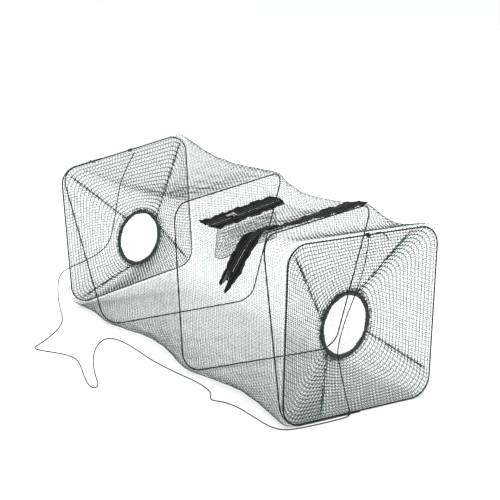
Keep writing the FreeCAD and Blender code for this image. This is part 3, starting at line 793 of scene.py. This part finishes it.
TAPE_INNER, TAPE_OUTER, TAPE_THICK = 2.15, 14.15, 0.6
COIL_HALF, COIL_PITCH, COIL_THREAD = 1.55, 1.35, 1.2
STITCH, STITCH_PITCH = 2.1, 2.9
FORK_LENGTH, FOLD_LENGTH = 26, 42   # of a forked end, and of the stretch where its tapes are folded under


class ZipLine:
    """A smooth centre line with its across and out directions, measured in millimetres."""

    def __init__(self, centres, outs, step=2.0):
        centres, outs = np.array(centres, float), np.array(outs, float)
        padded = np.vstack([2 * centres[0] - centres[1], centres, 2 * centres[-1] - centres[-2]])
        spots, ways = [], []
        for k in range(len(centres) - 1):
            a, b, c, d = padded[k:k + 4]
            count = max(2, int(np.linalg.norm(c - b) / step))
            for t in np.arange(count) / count:
                spots.append(0.5 * (2 * b + (c - a) * t + (2 * a - 5 * b + 4 * c - d) * t * t
                                    + (3 * b - a - 3 * c + d) * t ** 3))
                ways.append(outs[k] + (outs[k + 1] - outs[k]) * t)
        self.spots, self.outs = np.array(spots + [centres[-1]]), np.array(ways + [outs[-1]])
        gaps = np.linalg.norm(np.diff(self.spots, axis=0), axis=1)
        self.marks = np.concatenate([[0], np.cumsum(gaps)])
        self.length = self.marks[-1]

    def at(self, a, b=0.0, c=0.0):
        """The point a along, b across and c out."""
        def spot(where):
            return np.array([np.interp(where, self.marks, self.spots[:, axis]) for axis in range(3)])
        centre = spot(a)
        along = spot(min(self.length, a + 1)) - spot(max(0, a - 1))
        along /= np.linalg.norm(along)
        out = np.array([np.interp(a, self.marks, self.outs[:, axis]) for axis in range(3)])
        out -= along * out.dot(along)
        out /= np.linalg.norm(out)
        beyond = min(0.0, a) + max(0.0, a - self.length)
        return centre + along * beyond + np.cross(out, along) * b + out * c


def width_at(a, fork):
    """A forked end's tapes are folded under, to a third of their width at the tip."""
    return 1.0 if fork == 0 else 0.3 + 0.7 * math.sin(math.pi / 2 * min(1.0, max(0.0, a / FOLD_LENGTH)))


def fork_at(a, fork):
    """How far the open end's tapes stand apart from the closed line."""
    return fork * max(0.0, 1 - a / FORK_LENGTH) ** 1.2


def tape_pucker(t, a, seed):
    """How far the sewn edge of a tape rises and falls along its length."""
    return t ** 1.8 * (0.6 * math.sin(a / 3.1 + seed * 2) + 1.0 * math.sin(a / 7.3 + seed) - 0.3)


def zip_tape(name, line, side, ends, fork, seed):
    """One tape. ends: how far its start and its end are cut back at the inner and the outer edge."""
    length = line.length
    rows = int(length / 2.2)
    bpy.ops.mesh.primitive_grid_add(x_subdivisions=rows, y_subdivisions=7, size=1)
    piece = bpy.context.object
    piece.name = piece.data.name = name
    mesh = piece.data
    uvs = mesh.uv_layers.active.data
    place = {}
    for vertex in mesh.vertices:
        s, t = vertex.co.x + 0.5, vertex.co.y + 0.5
        start = ends[0] + (ends[1] - ends[0]) * t
        stop_at = length - (ends[2] + (ends[3] - ends[2]) * t)
        a = start + (stop_at - start) * s
        flare = 0.5 * t * t * math.sin(a / 11.0 + seed)
        b = fork_at(a, fork) + TAPE_INNER + (TAPE_OUTER - TAPE_INNER) * t * width_at(a, fork) + flare
        pucker = tape_pucker(t, a, seed)
        place[vertex.index] = (a * MM, t * (TAPE_OUTER - TAPE_INNER) * MM)
        vertex.co = Vector(line.at(a, side * b, pucker) * MM)
    for loop in mesh.loops:
        uvs[loop.index].uv = place[loop.vertex_index]
    mesh.materials.append(TAPE)
    thick = piece.modifiers.new("woven_thickness", "SOLIDIFY")
    thick.thickness, thick.offset = TAPE_THICK * MM, 0.0
    apply_modifiers(piece)
    for polygon in piece.data.polygons:
        polygon.use_smooth = True
    bpy.ops.object.select_all(action="DESELECT")
    piece.select_set(True)
    bpy.context.view_layer.objects.active = piece
    bpy.ops.object.mode_set(mode="EDIT")
    bpy.ops.mesh.select_all(action="SELECT")
    bpy.ops.mesh.normals_make_consistent(inside=False)
    bpy.ops.object.mode_set(mode="OBJECT")
    piece.select_set(False)
    return piece


def tape_stitches(name, line, side, fork, seed):
    """Two rows of lockstitch, through the tape's outer edge and beside its coil."""
    starts, ends = [], []
    for t in (0.28, 0.86):
        for a in np.arange(11, line.length - 12, STITCH_PITCH):
            pair = []
            for where in (a, a + STITCH):
                pucker = tape_pucker(t, where, seed)
                b = fork_at(where, fork) + TAPE_INNER
                b += (TAPE_OUTER - TAPE_INNER) * t * width_at(where, fork)
                pair.append(line.at(where, side * b, pucker + 0.42) * MM)
            starts.append(pair[0])
            ends.append(pair[1])
    return strands(name, starts, ends, 0.00024, THREAD)


def zip_coil(name, line, start, end):
    """The closed coil: one flattened spiral."""
    points = []
    turns = int((end - start) / COIL_PITCH)
    for k in range(turns * 6):
        angle = k / 6 * 2 * math.pi
        a = start + (end - start) * k / (turns * 6)
        points.append(line.at(a, COIL_HALF * math.cos(angle), 0.6 + 0.6 * math.sin(angle)))
    return thread_piece(name, points, COIL_THREAD, material=COIL)


def die_cast(node, name, material):
    """A die-cast part, its edges rounded by tumbling."""
    piece = copy_of_node(node, name, material)
    edge = piece.modifiers.new("tumbled_edges", "BEVEL")
    edge.width, edge.segments, edge.limit_method = 0.00022, 2, "ANGLE"
    return smooth(apply_modifiers(piece))


bait_way = BAIT_BACK - BAIT_FRONT
flat_across = np.array([bait_way[1], -bait_way[0], 0]) / math.hypot(bait_way[0], bait_way[1])
bait_out = np.array([0, 0, math.cos(BAIT_TILT)]) + flat_across * math.sin(BAIT_TILT)
bait_line = ZipLine([BAIT_FRONT, BAIT_BACK], [bait_out, bait_out])
TAPE_LIFT = 2.6            # of the access zip's roof part, which lies on the slack netting


def on_roof(x, y):
    """A place on the access zip's line, just above the roof's netting."""
    side = -y / (HEIGHT / 2 - NET_BEND * (1 - math.pi / 4))
    return (x, y, net_point("top", max(-0.95, min(0.95, side)), x)[2] + TAPE_LIFT)


straight = [(147 + 58 * t, -112 - 7 * t, 143 + 67 * t) for t in (0, 0.2, 0.4, 0.67, 1)]
over = [(218.5, -117.5, 226), (222, -108, 236), (219, -92, 239)] + \
    [on_roof(x, y) for x, y in ((209, -66), (201, -34), (190, 6), (179, 44), (168, 82), (162, 100))]
over_outs = [(0, -0.85, 0.5), (-0.2, -0.5, 0.85), (-0.3, -0.2, 0.93), (-0.3, -0.1, 0.94), (-0.22, -0.1, 0.97),
             (-0.1, -0.1, 0.99), (0, -0.1, 0.99), (0, -0.15, 0.99), (-0.1, -0.1, 0.99)]
access_line = ZipLine(straight + over, [(0, -1, 0)] * 5 + over_outs)

# Each tape: which one, its side, how far its ends are cut back at the inner and outer edges, and its seed
ZIPS = [
    {"name": "bait_zip", "line": bait_line, "fork": 0.0, "coil": (6.2, 190), "stop": "bait_zip_front_stop",
     "finish": METAL, "tapes": [("rear", 1, (0, -4, 0, 10), 0.7), ("fore", -1, (0, 10, 0, 10), 2.9)]},
    {"name": "access_zip", "line": access_line, "fork": 2.6, "coil": (FORK_LENGTH, access_line.length),
     "stop": "access_zip_stop", "finish": BLACK_METAL,
     "tapes": [("fore", 1, (0, 0, 0, 0), 0.7), ("rear", -1, (0, 0, 0, 0), 2.9)]},
]

for parts in ZIPS:
    name, line, fork, stop = parts["name"], parts["line"], parts["fork"], parts["stop"]
    body = name.replace("_zip", "")
    for tape, side, cut, seed in parts["tapes"]:
        cloth = zip_tape(name + "_" + tape + "_woven_tape", line, side, cut, fork, seed)
        stand_for(cloth, name + "_" + tape + "_tape")
        stitches = tape_stitches(name + "_" + tape + "_stitches", line, side, fork, seed)
        stand_for(stitches, name + "_" + tape + "_tape")
    stand_for(zip_coil(name + "_teeth", line, *parts["coil"]), name + "_coil")
    stand_for(die_cast(stop, stop + "_crimp", BLACK_METAL), stop, name + "_anchor")
    casting = die_cast(name + "_slider", name + "_slider_casting", parts["finish"])
    stand_for(casting, name + "_slider", body + "_slider")
    tab = die_cast(name + "_pull", name + "_pull_tab", parts["finish"])
    stand_for(tab, name + "_pull", body + "_pull")
back_stop = die_cast("bait_zip_back_stop", "bait_zip_back_stop_crimp", BLACK_METAL)
stand_for(back_stop, "bait_zip_back_stop")


# ---- bait pocket: a long net bag of heavier twine, hung under the bait zip

POCKET_ROWS, POCKET_SIDE_ROWS, POCKET_COLUMNS = 12, 9, 112
POCKET_TOP, POCKET_LOW, POCKET_HALF = 207.0, 170.0, 8.0
flat_way = np.array([bait_way[0], bait_way[1], 0]) / math.hypot(bait_way[0], bait_way[1])


def pocket_joint(row, column):
    """A strand joint of the bag: its sides hang down, and the last rows close it along the middle."""
    near, far = 36.0, bait_line.length - 24.0
    around = 2 * (far - near) + 2 * math.pi * POCKET_HALF
    run = column / POCKET_COLUMNS * around
    arc = math.pi * POCKET_HALF
    if run < far - near:
        along, angle = near + run, 0.0
    elif run < far - near + arc:
        along, angle = far, (run - far + near) / POCKET_HALF
    elif run < 2 * (far - near) + arc:
        along, angle = far - (run - (far - near) - arc), math.pi
    else:
        along, angle = near, math.pi + (run - 2 * (far - near) - arc) / POCKET_HALF
    down = min(1.0, row / POCKET_SIDE_ROWS)
    closing = max(0, row - POCKET_SIDE_ROWS) / (POCKET_ROWS - POCKET_SIDE_ROWS)
    reach = POCKET_HALF * max(0.04, 1 - closing)
    reach *= 1 - 0.35 * (1 - down) + 0.1 * math.sin(along / 13)
    level = POCKET_TOP + (POCKET_LOW - POCKET_TOP) * down - 1.5 * math.sin(along / 21) * down
    level -= 2.5 * closing
    point = BAIT_FRONT + flat_way * (along + reach * math.sin(angle))
    point += flat_across * (reach * math.cos(angle))
    return np.array([point[0], point[1], level])


points, faces = lattice(POCKET_ROWS, POCKET_COLUMNS, pocket_joint, cyclic=True)
bag = netting("bait_pocket_netting", points, faces, POCKET_TWINE, POCKET_NET)
stand_for(bag, "bait_pocket_net")

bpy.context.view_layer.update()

bpy.ops.mesh.primitive_plane_add(size=60, location=(0, 0, 0))
floor = bpy.context.object
floor.name = "studio_floor"
paper, _ = new_material("seamless_paper", "#f6f7f8", 0.9)
floor.data.materials.append(paper)
